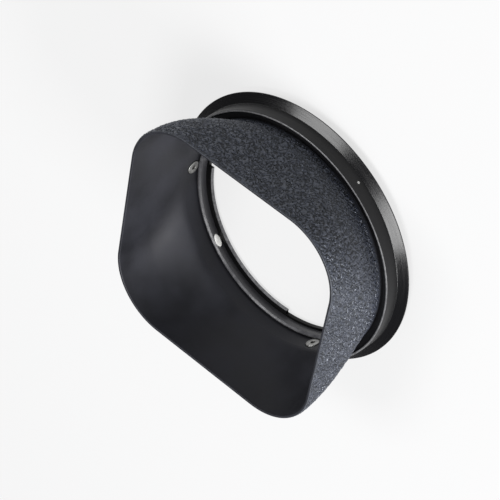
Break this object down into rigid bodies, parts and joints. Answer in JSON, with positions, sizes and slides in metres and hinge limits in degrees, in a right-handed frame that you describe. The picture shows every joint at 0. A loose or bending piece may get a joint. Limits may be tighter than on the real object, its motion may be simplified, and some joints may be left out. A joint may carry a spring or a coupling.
{
  "type": "lens hood",
  "caption": "Square-mouthed metal lens hood with a round neck, a bayonet for the lens and a lock ring that turns on the neck.",
  "frame": {"origin": "centre of the rear face of the bayonet ring, which the hood stands on", "axes": "+Z along the optical axis towards the mouth, X and Y square to the mouth's flat sides"},
  "size_m": [0.066, 0.066, 0.0262],
  "materials": {
    "crinkle_paint": "black crinkle outside, matte black inside",
    "black_collar": "matte black",
    "black_anodised": "glossy black anodised, turned",
    "satin_anodised": "satin black anodised, edge worn bright",
    "lug_steel": "blackened steel, inner edge bare",
    "screw_steel": "plain steel",
    "spring_bronze": "bare spring bronze",
    "dot_paint": "white enamel"
  },
  "bodies": {
    "shade": {"shade_shell": "crinkle_paint", "neck_collar": "black_collar", "guide_screw_1": "screw_steel", "guide_screw_2": "screw_steel", "guide_screw_3": "screw_steel"},
    "lock": {"lock_ring": "black_anodised", "bayonet_ring": "satin_anodised", "lug_plate": "lug_steel", "lug_screw_1": "screw_steel", "lug_screw_2": "screw_steel", "lug_screw_3": "screw_steel", "ring_screw_1": "screw_steel", "ring_screw_2": "screw_steel", "ring_screw_3": "screw_steel", "ring_screw_4": "screw_steel", "friction_spring": "spring_bronze", "index_dot": "dot_paint", "ring_dot": "dot_paint"}
  },
  "joints": [
    {"name": "lock_turn", "type": "hinge", "parent": "shade", "child": "lock", "pos_m": [0, 0, 0], "axis": [0, 0, 1], "range_deg": [0, 30]}
  ]
}
